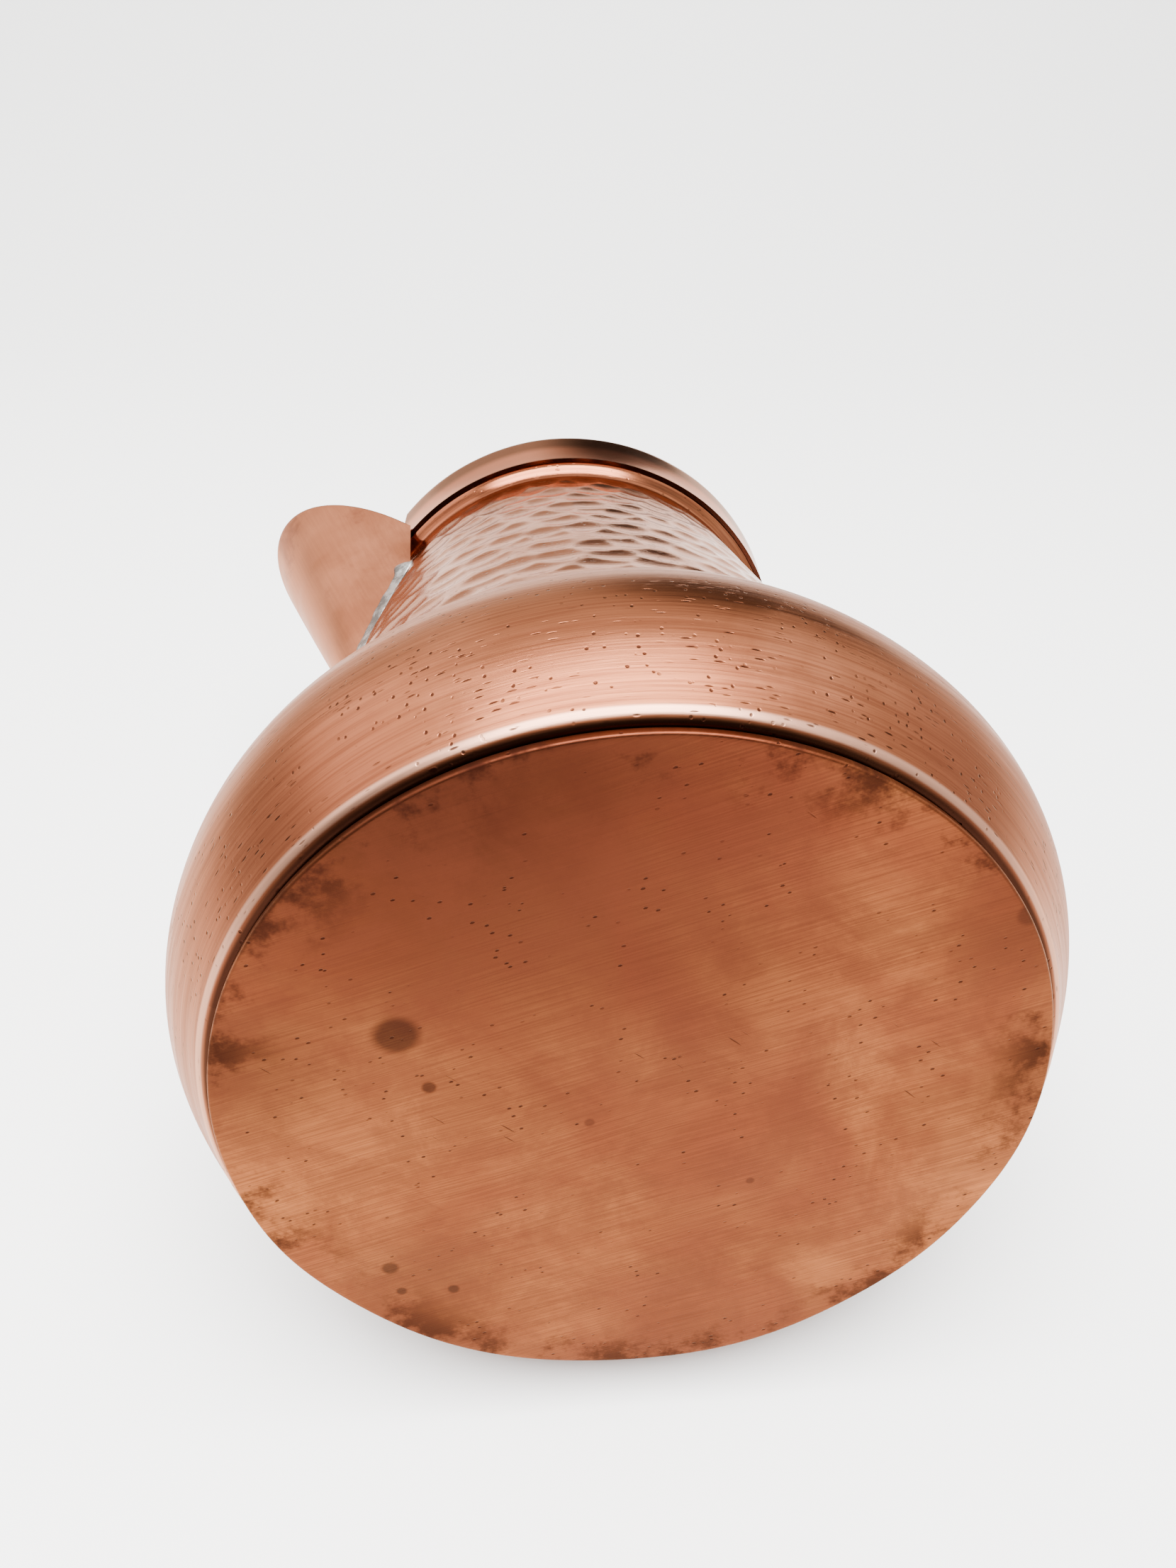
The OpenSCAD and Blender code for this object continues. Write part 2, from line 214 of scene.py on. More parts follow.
class Maker:
    """Short calls for building a node material."""

    def __init__(self, name):
        self.material, self.tree, self.bsdf = node_tree(name)
        self.coords = self.tree.nodes.new("ShaderNodeTexCoord").outputs["Object"]

    def link(self, a, b):
        self.tree.links.new(a, b)

    def value(self, socket, v):
        if isinstance(v, bpy.types.NodeSocket):
            self.link(v, socket)
        else:
            socket.default_value = v

    def scaled(self, scale, turn=(0, 0, 0), at=(0, 0, 0), source=None):
        """Coordinates turned first, in degrees, and then scaled."""
        vector = source or self.coords
        for angles, size in ((turn, (1, 1, 1)), ((0, 0, 0), scale)):
            node = self.tree.nodes.new("ShaderNodeMapping")
            self.link(vector, node.inputs["Vector"])
            node.inputs["Rotation"].default_value = [math.radians(x) for x in angles]
            node.inputs["Scale"].default_value = size
            vector = node.outputs["Vector"]
        node.inputs["Location"].default_value = at
        return vector

    def noise(self, scale, vector=None, detail=3.0, rough=0.5, distort=0.0):
        node = self.tree.nodes.new("ShaderNodeTexNoise")
        self.link(vector or self.coords, node.inputs["Vector"])
        settings = {"Scale": scale, "Detail": detail, "Roughness": rough, "Distortion": distort}
        for key, v in settings.items():
            node.inputs[key].default_value = v
        return node.outputs["Fac"]

    def cells(self, scale, vector=None, feature="F1", random=1.0):
        node = self.tree.nodes.new("ShaderNodeTexVoronoi")
        node.feature = feature
        self.link(vector or self.coords, node.inputs["Vector"])
        node.inputs["Scale"].default_value = scale
        node.inputs["Randomness"].default_value = random
        return node.outputs["Distance"]

    def math(self, kind, a, b=0.0, clamp=False):
        node = self.tree.nodes.new("ShaderNodeMath")
        node.operation, node.use_clamp = kind, clamp
        self.value(node.inputs[0], a)
        self.value(node.inputs[1], b)
        return node.outputs[0]

    def ramp(self, fac, low, high, out_low=0.0, out_high=1.0):
        node = self.tree.nodes.new("ShaderNodeMapRange")
        node.interpolation_type = "SMOOTHSTEP"
        self.link(fac, node.inputs["Value"])
        for key, v in (("From Min", low), ("From Max", high), ("To Min", out_low), ("To Max", out_high)):
            node.inputs[key].default_value = v
        return node.outputs["Result"]

    def mix(self, fac, a, b):
        node = self.tree.nodes.new("ShaderNodeMix")
        node.data_type = "RGBA"
        self.value(node.inputs["Factor"], fac)
        self.value(node.inputs["A"], a)
        self.value(node.inputs["B"], b)
        return node.outputs["Result"]

    def polar(self):
        """(angle round the can, height, radius) of each point, for marks that run round it."""
        split = self.tree.nodes.new("ShaderNodeSeparateXYZ")
        self.link(self.coords, split.inputs[0])
        x, y, z = split.outputs
        turn = self.math("ARCTAN2", y, x)
        squares = self.math("MULTIPLY", x, x), self.math("MULTIPLY", y, y)
        radius = self.math("SQRT", self.math("ADD", *squares))
        return turn, z, radius

    def joined(self, x, y, z):
        node = self.tree.nodes.new("ShaderNodeCombineXYZ")
        for socket, v in zip(node.inputs, (x, y, z)):
            self.value(socket, v)
        return node.outputs[0]

    def bump(self, height, distance, strength=1.0, normal=None):
        node = self.tree.nodes.new("ShaderNodeBump")
        self.link(height, node.inputs["Height"])
        node.inputs["Distance"].default_value = distance
        node.inputs["Strength"].default_value = strength
        if normal:
            self.link(normal, node.inputs["Normal"])
        return node.outputs["Normal"]

    def spot(self, place, radius, edge=0.35):
        """1 inside a soft-edged spot round a point of the object, 0 outside."""
        node = self.tree.nodes.new("ShaderNodeVectorMath")
        node.operation = "DISTANCE"
        self.link(self.coords, node.inputs[0])
        node.inputs[1].default_value = place
        return self.ramp(node.outputs["Value"], radius * (1 + edge), radius * (1 - edge))

    def finish(self, colour, rough, normal=None, metallic=1.0):
        self.value(self.bsdf.inputs["Base Color"], colour)
        self.value(self.bsdf.inputs["Roughness"], rough)
        self.value(self.bsdf.inputs["Metallic"], metallic)
        self.bsdf.inputs["Specular Tint"].default_value = EDGE_TINT
        if normal:
            self.link(normal, self.bsdf.inputs["Normal"])
        return self.material


SHADES = (0.52, 0.38, 0.32)


def rgb(r, g, b):
    """A colour from 0 to 255, darkened and deepened for the very bright room the can stands in."""
    def linear(c, shade):
        c = c / 255
        return shade * (c / 12.92 if c <= 0.04045 else ((c + 0.055) / 1.055) ** 2.4)
    return (*(linear(c, shade) for c, shade in zip((r, g, b), SHADES)), 1.0)


def grey(v):
    tone = 0.55 * (v / 255) ** 2.2
    return (tone, tone * 0.98, tone * 0.94, 1.0)


# ---- Camera, floor and light ----
view_dir = Vector((0.22998, 0.46402, 0.85545))
view_up = Vector((-0.24177, -0.82421, 0.51208))
camera = bpy.data.objects.new("camera", bpy.data.cameras.new("camera"))
bpy.context.scene.collection.objects.link(camera)
turn = Matrix((view_dir.cross(view_up).normalized(), view_up, -view_dir)).transposed().to_4x4()
turn.translation = Vector((-62.85, -125.94, -136.03)) * MM
camera.matrix_world = turn
camera.data.sensor_width = 36
camera.data.lens = 28.07
camera.data.clip_start = 0.01
bpy.context.scene.camera = camera

# The can lies on its side: the floor touches its belly, and its rim ends about 1 mm above the floor
floor_up = Vector((-0.323, -0.938, -0.130)).normalized()
FLOOR_DEPTH = 78.5 * MM
CENTRE = Vector((0, 0, 90)) * MM


def aim(thing, place, target):
    heading = (target - place).to_track_quat("-Z", "Y").to_matrix().to_4x4()
    thing.matrix_world = Matrix.Translation(place) @ heading


def make_floor():
    """A pale sweep: flat under the can, curving up a little behind it, clear when seen from behind."""
    far = (view_dir - view_dir.dot(floor_up) * floor_up).normalized()
    across = far.cross(floor_up)
    flat_to, bend, wide, top_angle = 0.55, 0.6, 6.0, 42
    profile = [(-wide, 0.0)]
    for k in range(25):
        angle = math.radians(-90 + top_angle * k / 24)
        profile.append((flat_to + bend * math.cos(angle), bend + bend * math.sin(angle)))
    start = -FLOOR_DEPTH * floor_up
    verts = [start + d * far + h * floor_up + side * across
             for d, h in profile for side in (-wide, wide)]
    faces = [(2 * k, 2 * k + 2, 2 * k + 3, 2 * k + 1) for k in range(len(profile) - 1)]
    mesh = bpy.data.meshes.new("floor")
    mesh.from_pydata(verts, [], faces)
    if mesh.polygons[0].normal.dot(floor_up) < 0:
        mesh.flip_normals()
    mesh.shade_smooth()
    floor = bpy.data.objects.new("floor", mesh)
    bpy.context.scene.collection.objects.link(floor)
    material, tree, bsdf = node_tree("floor")
    bsdf.inputs["Base Color"].default_value = (0.86, 0.855, 0.845, 1)
    bsdf.inputs["Roughness"].default_value = 0.6
    geometry = tree.nodes.new("ShaderNodeNewGeometry")
    clear = tree.nodes.new("ShaderNodeBsdfTransparent")
    either = tree.nodes.new("ShaderNodeMixShader")
    tree.links.new(geometry.outputs["Backfacing"], either.inputs[0])
    tree.links.new(bsdf.outputs[0], either.inputs[1])
    tree.links.new(clear.outputs[0], either.inputs[2])
    tree.links.new(either.outputs[0], tree.nodes["Material Output"].inputs["Surface"])
    mesh.materials.append(material)


def make_light(name, direction, distance, size, power, colour=(1, 1, 1)):
    light = bpy.data.lights.new(name, "AREA")
    light.shape = "RECTANGLE"
    light.size = size[0]
    light.size_y = size[1]
    light.energy = power
    light.color = colour
    lamp = bpy.data.objects.new(name, light)
    bpy.context.scene.collection.objects.link(lamp)
    aim(lamp, CENTRE + Vector(direction).normalized() * distance, CENTRE)


def make_world():
    """A pale room: dim behind the camera and in one patch placed to darken the neck's facets."""
    world = bpy.data.worlds.new("studio")
    bpy.context.scene.world = world
    world.use_nodes = True
    tree = world.node_tree
    coords = tree.nodes.new("ShaderNodeTexCoord").outputs["Generated"]

    def along(direction, low, high, out_low, out_high):
        dot = tree.nodes.new("ShaderNodeVectorMath")
        dot.operation = "DOT_PRODUCT"
        tree.links.new(coords, dot.inputs[0])
        dot.inputs[1].default_value = direction
        spread = tree.nodes.new("ShaderNodeMapRange")
        spread.interpolation_type = "SMOOTHSTEP"
        tree.links.new(dot.outputs["Value"], spread.inputs["Value"])
        for key, v in (("From Min", low), ("From Max", high), ("To Min", out_low), ("To Max", out_high)):
            spread.inputs[key].default_value = v
        return spread.outputs["Result"]

    high = along(floor_up, -0.2, 0.9, 1.7, 2.9)
    near = along(-view_dir, 0.15, 0.85, 1.0, 0.12)
    patch = along(Vector((0.23, -0.52, 0.81)).normalized(), 0.87, 0.975, 1.0, 0.06)
    product = high
    for part in (near, patch):
        both = tree.nodes.new("ShaderNodeMath")
        both.operation = "MULTIPLY"
        tree.links.new(product, both.inputs[0])
        tree.links.new(part, both.inputs[1])
        product = both.outputs[0]
    background = tree.nodes["Background"]
    background.inputs["Color"].default_value = (1.0, 0.99, 0.975, 1)
    tree.links.new(product, background.inputs["Strength"])


make_world()
make_floor()
make_light("overhead", floor_up - 0.45 * view_dir, 1.1, (1.0, 0.8), 80.0)
make_light("window", floor_up * 0.5 + Vector((-1.0, 0, 0.15)), 1.0, (0.5, 0.9), 5.0, (1, 0.985, 0.96))
make_light("round_behind", (0.5, 0.9, 0.5), 1.0, (0.6, 0.6), 14.0)

# ---- Finishes ----
PALE = rgb(196, 138, 88)
COPPER = rgb(142, 88, 58)
DARK = rgb(58, 32, 26)
STROKE_TURN = 36.9                               # degrees that bring the base's brush strokes onto X

# Stains and spots on the base: (place, radius, colour, strength). The first, darkest entry is a painted
# dark reflection, not a stain.
STAINS_AND_DARK_REFLECTION = [(Vector((x, y, 0)) * MM, r * MM, tone, amount) for x, y, r, tone, amount in (
    # Painted dark reflection on the -X, -Y part of the disc.
    (-49, -40, 26, rgb(40, 24, 20), 0.95),
    (-21, -37, 26, rgb(84, 46, 36), 0.65),
    (-20, -8, 30, rgb(104, 62, 46), 0.50),
    (-58, 8, 12, rgb(76, 44, 34), 0.6),
    (-20, 49, 13, rgb(84, 50, 38), 0.55),
    (44, -48, 12, rgb(84, 48, 36), 0.65),
    (59, -22, 9, rgb(84, 48, 36), 0.55),
    (18, 22, 24, rgb(118, 72, 52), 0.40))]
SPOTS = [(Vector((x, y, 0)) * MM, r * MM, tone, amount) for x, y, r, tone, amount in (
    (-39.4, -3.9, 3.4, rgb(48, 28, 24), 0.75),
    (-32.0, 5.1, 1.1, rgb(60, 36, 28), 0.80),
    (-27.4, 46.6, 1.4, rgb(54, 34, 28), 0.75),
    (-15.6, 49.5, 1.0, rgb(54, 34, 28), 0.75),
    (-24.0, 52.0, 0.9, rgb(54, 34, 28), 0.75),
    (-6.0, 6.0, 0.8, rgb(70, 42, 34), 0.60),
    (24.0, 12.0, 0.7, rgb(70, 42, 34), 0.60),
    (42.0, -49.5, 1.8, rgb(70, 42, 34), 0.60))]


def base_finish():
    """Old copper, brushed in straight strokes across the disc and stained by use, with one painted dark
    reflection.
    """
    m = Maker("brushed_base")
    strokes = m.scaled((55, 3600, 400), turn=(0, 0, STROKE_TURN))
    wide = m.scaled((10, 420, 100), turn=(0, 0, 33))
    fine = m.noise(1.0, strokes, detail=4, rough=0.65)
    broad = m.noise(1.0, wide, detail=2)
    cloud = m.noise(26, detail=5, rough=0.62, distort=0.6)
    slow = m.noise(11, m.scaled((1, 1, 1), at=(0.31, 0.12, 0)), detail=3, distort=0.8)
    rust = m.noise(48, m.scaled((1, 1, 1), at=(0.7, 0.2, 0)), detail=6, rough=0.7)
    _, _, radius = m.polar()
    edge = m.ramp(radius, disc_r * 0.80, disc_r * 1.0)
    rim_dirt = m.math("MULTIPLY", edge, m.ramp(rust, 0.50, 0.62))
    patch = m.ramp(slow, 0.46, 0.62)
    colour = m.mix(m.ramp(cloud, 0.35, 0.68), COPPER, PALE)
    colour = m.mix(m.math("MULTIPLY", patch, 0.75), colour, rgb(124, 72, 54))
    # The stains, and one painted dark reflection, laid over the colour.
    for place, size, tone, amount in STAINS_AND_DARK_REFLECTION:
        veil = m.math("MULTIPLY", m.spot(place, size, 0.9), m.ramp(cloud, 0.30, 0.55, 0.70, 1.0))
        colour = m.mix(m.math("MULTIPLY", veil, amount), colour, tone)
    colour = m.mix(m.ramp(fine, 0.32, 0.66, 0.50, 0.0), colour, rgb(92, 54, 40))
    blotch = m.ramp(m.noise(62, detail=6, rough=0.7, distort=0.4), 0.42, 0.60)
    colour = m.mix(m.math("MULTIPLY", blotch, 0.40), colour, rgb(104, 62, 46))
    colour = m.mix(m.math("MULTIPLY", rim_dirt, 0.8), colour, DARK)
    for place, size, tone, amount in SPOTS:
        blot = m.math("MULTIPLY", m.spot(place, size, 0.30), m.ramp(rust, 0.30, 0.5, 0.75, 1.0))
        colour = m.mix(m.math("MULTIPLY", blot, amount), colour, tone)
    pits = m.ramp(m.cells(1.0, m.scaled((380, 700, 500), turn=(0, 0, STROKE_TURN))), 0.17, 0.08)
    seldom = m.ramp(m.noise(90), 0.46, 0.58)
    pits = m.math("MULTIPLY", pits, seldom)
    colour = m.mix(m.math("MULTIPLY", pits, 0.85), colour, DARK)
    nicks = m.ramp(m.cells(1.0, m.scaled((60, 700, 300), turn=(0, 0, -22))), 0.10, 0.05)
    nicks = m.math("MULTIPLY", nicks, m.ramp(m.noise(37), 0.54, 0.62))
    colour = m.mix(m.math("MULTIPLY", nicks, 0.7), colour, DARK)
    rough = m.math("ADD", m.ramp(cloud, 0.3, 0.7, 0.36, 0.48), m.math("MULTIPLY", rim_dirt, 0.2))
    relief = m.math("ADD", m.math("MULTIPLY", fine, 0.5), m.math("MULTIPLY", broad, 0.5))
    normal = m.bump(m.noise(17, detail=2), 0.6 * MM, 0.8)
    normal = m.bump(relief, 0.05 * MM, 0.75, normal)
    normal = m.bump(m.math("SUBTRACT", 1.0, m.math("ADD", pits, nicks)), 0.12 * MM, 0.6, normal)
    return m.finish(colour, rough, normal)


def turned_finish(name, rough_low, rough_high, marks=1.0):
    """Copper brushed round and round the can, with pits and short dark scratches, and at the foot's
    bottom a painted highlight with painted shade below it.
    """
    m = Maker(name)
    turn_, height, radius = m.polar()
    round_ = m.math("MULTIPLY", turn_, belly_r)
    strokes = m.scaled((34, 2300, 900), source=m.joined(round_, height, radius))
    fine = m.noise(1.0, strokes, detail=4, rough=0.65)
    long_strokes = m.scaled((12, 700, 300), source=m.joined(round_, height, radius))
    long_marks = m.noise(1.0, long_strokes, detail=3)
    cloud = m.noise(24, detail=5, rough=0.6, distort=0.5)
    slow = m.noise(9, m.scaled((1, 1, 1), at=(0.2, 0.4, 0.1)), detail=2, distort=0.5)
    colour = m.mix(m.ramp(cloud, 0.35, 0.68), rgb(166, 116, 86), rgb(190, 138, 106))
    colour = m.mix(m.ramp(slow, 0.46, 0.62, 0.0, 0.6), colour, rgb(152, 98, 78))
    colour = m.mix(m.ramp(fine, 0.34, 0.62, 0.55, 0.0), colour, rgb(118, 72, 54))
    pits = m.math("MULTIPLY", m.ramp(m.cells(640), 0.22, 0.10), m.ramp(m.noise(85), 0.44, 0.56))
    dashes = m.cells(1.0, m.scaled((230, 1500, 1), source=m.joined(round_, height, 0.0)))
    dashes = m.math("MULTIPLY", m.ramp(dashes, 0.22, 0.10), m.ramp(m.noise(60), 0.40, 0.58))
    hurt = m.math("MULTIPLY", m.math("MAXIMUM", pits, dashes), marks)
    # Painted highlight: a thin near-white band on the foot's rounded lower edge.
    painted_foot_highlight = m.math("MULTIPLY", m.ramp(height, wall_z + 0.35 * MM, wall_z + 0.6 * MM),
                  m.ramp(height, wall_z + 1.7 * MM, wall_z + 1.2 * MM))
    # Painted shade: the foot's lowest half millimetre, against the base plate, darkened nearly to black.
    painted_foot_shade = m.ramp(height, wall_z + 0.45 * MM, wall_z + 0.1 * MM)
    colour = m.mix(m.math("MULTIPLY", painted_foot_highlight, 0.6), colour, rgb(255, 226, 206))
    colour = m.mix(m.math("MULTIPLY", painted_foot_shade, 0.9), colour, rgb(40, 24, 20))
    colour = m.mix(m.math("MULTIPLY", hurt, 0.9), colour, DARK)
    rough = m.ramp(m.math("ADD", m.math("MULTIPLY", cloud, 0.5), m.math("MULTIPLY", long_marks, 0.5)),
                   0.38, 0.62, rough_low, rough_high)
    relief = m.math("ADD", m.math("MULTIPLY", fine, 0.6), m.math("MULTIPLY", long_marks, 0.4))
    normal = m.bump(relief, 0.05 * MM, 0.85)
    normal = m.bump(m.math("SUBTRACT", 1.0, hurt), 0.10 * MM, 0.6, normal)
    return m.finish(colour, rough, normal)


def polished_finish(name, rough, tone=rgb(214, 150, 122)):
    """Polished copper with fine hairlines, with a painted dark reflection on the rim band's upper half
    and painted shade along its lower edge.

    The same painted darkening also covers what lies as far out below the band, which is nearly all of
    the handle.
    """
    m = Maker(name)
    turn_, height, radius = m.polar()
    round_ = m.math("MULTIPLY", turn_, rim_r)
    hair = m.noise(1.0, m.scaled((30, 1500, 900), source=m.joined(round_, height, radius)), detail=3)
    cloud = m.noise(40, detail=4)
    colour = m.mix(m.ramp(cloud, 0.4, 0.7, 0.0, 0.6), tone, rgb(190, 122, 96))
    # Painted dark reflection on the band's upper half and painted shade along its lower edge; this mask
    # also darkens nearly all of the handle.
    painted_reflection_and_shade = m.math("ADD", m.ramp(height, BAND_LOW_Z + 6 * MM, BAND_LOW_Z + 10 * MM),
                     m.ramp(height, BAND_LOW_Z + 0.8 * MM, BAND_LOW_Z))
    painted_reflection_and_shade = m.math("MULTIPLY", painted_reflection_and_shade, m.ramp(radius, rim_r - 6 * MM, rim_r - 3 * MM))
    colour = m.mix(m.math("MULTIPLY", painted_reflection_and_shade, 0.85), colour, rgb(72, 40, 30))
    fleck = m.math("MULTIPLY", m.ramp(m.cells(600), 0.14, 0.06), m.ramp(m.noise(120), 0.56, 0.64))
    colour = m.mix(m.math("MULTIPLY", fleck, 0.6), colour, DARK)
    normal = m.bump(hair, 0.012 * MM, 0.5)
    return m.finish(colour, m.ramp(cloud, 0.3, 0.7, rough, rough + 0.10), normal)


def spout_finish():
    """Dull rubbed copper with brown stains near the lip."""
    m = Maker("rubbed_spout")
    along = m.noise(1.0, m.scaled((1400, 1400, 40), turn=(0, 19.6, 0)), detail=4, rough=0.6)
    cloud = m.noise(42, detail=5, rough=0.6, distort=0.5)
    stain = m.noise(70, m.scaled((1, 1, 0.6), at=(0.13, 0.4, 0.2)), detail=5, rough=0.65, distort=0.8)
    _, height, _ = m.polar()
    near_lip = m.ramp(height, rim_z - 30 * MM, rim_z)
    colour = m.mix(m.ramp(cloud, 0.35, 0.68), rgb(192, 136, 104), rgb(212, 158, 126))
    veil = m.math("MULTIPLY", m.ramp(stain, 0.54, 0.66), m.ramp(near_lip, 0.0, 1.0, 0.35, 0.9))
    colour = m.mix(m.math("MULTIPLY", veil, 0.7), colour, rgb(140, 88, 74))
    colour = m.mix(m.ramp(along, 0.3, 0.7, 0.22, 0.0), colour, rgb(150, 98, 78))
    rough = m.ramp(cloud, 0.3, 0.7, 0.34, 0.46)
    return m.finish(colour, rough, m.bump(along, 0.03 * MM, 0.7))


def tin_finish():
    """Soft grey tin, wiped on hot and left lumpy."""
    m = Maker("wiped_tin")
    lumps = m.noise(420, detail=4, rough=0.6)
    grime = m.noise(190, detail=5, rough=0.7)
    colour = m.mix(m.ramp(grime, 0.38, 0.62), grey(120), grey(225))
    return m.finish(colour, m.ramp(grime, 0.3, 0.7, 0.55, 0.32), m.bump(lumps, 0.25 * MM, 0.7))


def brass_finish():
    """The yellow line of hard solder between bowl and neck."""
    m = Maker("hard_solder")
    grain = m.noise(600, detail=4)
    tone = m.mix(m.ramp(m.noise(120, detail=3), 0.4, 0.65), rgb(206, 168, 104), rgb(170, 116, 72))
    return m.finish(tone, m.ramp(grain, 0.3, 0.7, 0.26, 0.42), m.bump(grain, 0.05 * MM, 0.5))


def rivet_finish():
    """Hand-peened copper: small facets, dark in the hollows."""
    m = Maker("peened_copper")
    facets = m.cells(900)
    tone = m.mix(m.ramp(facets, 0.1, 0.7), rgb(150, 94, 72), rgb(212, 152, 124))
    rough = m.ramp(m.noise(300, detail=3), 0.3, 0.7, 0.22, 0.38)
    return m.finish(tone, rough, m.bump(facets, 0.15 * MM, 0.5))


# ---- Pieces ----
brushed = turned_finish("brushed_bowl", 0.28, 0.42)
hammered = turned_finish("hammered_neck", 0.10, 0.20, marks=0.6)
polished = polished_finish("polished_rim", 0.14)
strap_copper = polished_finish("rubbed_strap", 0.26, rgb(204, 142, 116))
tin = tin_finish()


def make_base():
    """The flat disc under the can: knocked a little out of true, with rounded edges."""
    edge_r = 0.5 * MM
    rings = np.concatenate([np.linspace(0, disc_r - 4 * MM, 44),
                            np.linspace(disc_r - 3.4 * MM, disc_r - edge_r, 6)])
    low = arc([disc_r - edge_r, edge_r], edge_r, -90, 0, 6)
    high = arc([disc_r - edge_r, disc_t - edge_r], edge_r, 0, 90, 6)
    under = np.stack([rings[:-1], np.zeros(len(rings) - 1)], 1)
    outline = np.concatenate([under, low, high, [[0, disc_t]]])
    verts, faces = revolve(outline, 320)
    rng = np.random.default_rng(11)
    uneven = np.zeros(len(verts))
    for _ in range(16):
        way = rng.uniform(0, 2 * math.pi)
        step = 2 * math.pi / rng.uniform(26 * MM, 60 * MM)
        along_way = verts[:, 0] * math.cos(way) + verts[:, 1] * math.sin(way)
        uneven += np.cos(step * along_way + rng.uniform(0, 6.28))
    sink = 0.055 * MM * uneven
    for x, y, r, depth in ((7, -60, 4, 0.35), (-30, 20, 7, 0.20), (34, -18, 9, 0.22), (20, 44, 6, 0.18)):
        away = np.hypot(verts[:, 0] - x * MM, verts[:, 1] - y * MM)
        sink += depth * MM * np.exp(-(away / (r * MM)) ** 2)
    verts[:, 2] += sink * (verts[:, 2] < disc_t * 0.5)
    make_object("base_plate", verts, faces, base_finish(), "base_disc", "brushed_copper")


def make_bowl():
    foot = arc(foot_centre, FOOT_ROUND, -90, foot_turn, 10)
    sides = curve(belly, np.linspace(0, 1, 28)[1:])
    over = curve(shoulder, np.linspace(0, JOINT_SHARE, 60)[1:])
    path = np.concatenate([[[disc_r - FLANGE_W, wall_z]], foot, sides, over])
    dents = waves(5, 9, 2, 9)

    def shift(a, r, z, k):
        fade = smooth(z, 5 * MM, 16 * MM) * (1 - smooth(z, 48 * MM, 57 * MM))
        return 0.10 * MM * wave_sum(a, z, dents) * fade

    outline = ring_outline(path, SHEET)
    make_object("bowl_shell", *revolve(outline, 360, shift), brushed, "bowl", "brushed_copper")


MARK_CELL = 8.4 * MM                             # hammer marks: spacing round the neck
MARK_ROW = MARK_CELL * 0.88                      # spacing up the neck
MARK_STRAY = 0.30                                # how far a mark strays, as a share of its cell
MARK_DEPTH = 0.42 * MM
MARK_FACE_R = 24 * MM                            # radius of the hammer's face
NO_MARK = 1e9


def hammer_marks(angle, height, around_r):
    """Depth of the shallow hammer dishes at each point of the neck."""
    rng = np.random.default_rng(23)
    count = int(2 * math.pi * around_r / MARK_CELL)
    low = ROOT[1] - 22 * MM
    rows = int((COVE_Z + 6 * MM - low) / MARK_ROW)
    turn_ = angle * count / (2 * math.pi)
    rise = (height - low) / MARK_ROW
    jitter = rng.uniform(-MARK_STRAY, MARK_STRAY, (rows + 4, count, 2))
    nearest = np.full(angle.shape, NO_MARK)
    for dr in (-1, 0, 1):
        row = np.clip(np.floor(rise).astype(int) + dr, 0, rows + 3)
        for dc in (-1, 0, 1, 2):
            column = (np.floor(turn_).astype(int) + dc) % count
            centre_turn = np.floor(turn_) + dc + 0.5 * (row % 2) + jitter[row, column, 0]
            centre_rise = row + 0.5 + jitter[row, column, 1]
            away = ((turn_ - centre_turn) * MARK_CELL) ** 2 + ((rise - centre_rise) * MARK_ROW) ** 2
            nearest = np.minimum(nearest, away)
    return np.maximum(MARK_DEPTH - nearest / (2 * MARK_FACE_R), 0)


def make_neck():
    root_part = curve(shoulder, np.linspace(NECK_SHARE, 1, 10))
    straight = ROOT + (np.array([NECK_R, COVE_Z]) - ROOT) * np.linspace(0, 1, 124)[1:, None]
    low_edge = np.array([rim_r - BAND_FLARE - SHEET, BAND_LOW_Z])
    cove_pull = straight[-1] + [0, COVE_H * 0.55]
    edge_pull = low_edge - [0, COVE_H * 0.45]
    cove = curve([straight[-1], cove_pull, edge_pull, low_edge], np.linspace(0, 1, 12)[1:])
    top = [rim_r - SHEET - 0.35 * MM, rim_z - 4.7 * MM]
    path = np.concatenate([root_part, straight, cove, [top]])
    outer_count = len(path)

    def shift(a, r, z, k):
        fade = smooth(z, ROOT[1] - 4 * MM, ROOT[1] + 3 * MM)
        fade *= 1 - smooth(z, COVE_Z - 3 * MM, COVE_Z + 0.5 * MM)
        share = np.where(k < outer_count, 1.0, 0.6)
        return -hammer_marks(a, z, 55 * MM) * fade * share

    outline = ring_outline(path, SHEET)
    neck = make_object("neck_shell", *revolve(outline, 540, shift), hammered, "neck", "hammered_copper")
    cut_away(neck, *spout_way())
    sharpen(neck, 50)


def spout_way():
    """The block cut out of neck and band where they open into the spout."""
    low_z, low_half, top_z, top_half = 119.7 * MM, 2 * MM, rim_z + SHEET, 22.3 * MM
    face = [(-low_half, low_z), (low_half, low_z), (top_half, top_z), (-top_half, top_z)]
    verts = [(x, y, z) for x in (-0.2, 0.0) for y, z in face]
    return verts, [(3, 2, 1, 0), (4, 5, 6, 7), (0, 1, 5, 4), (1, 2, 6, 5), (2, 3, 7, 6), (3, 0, 4, 7)]


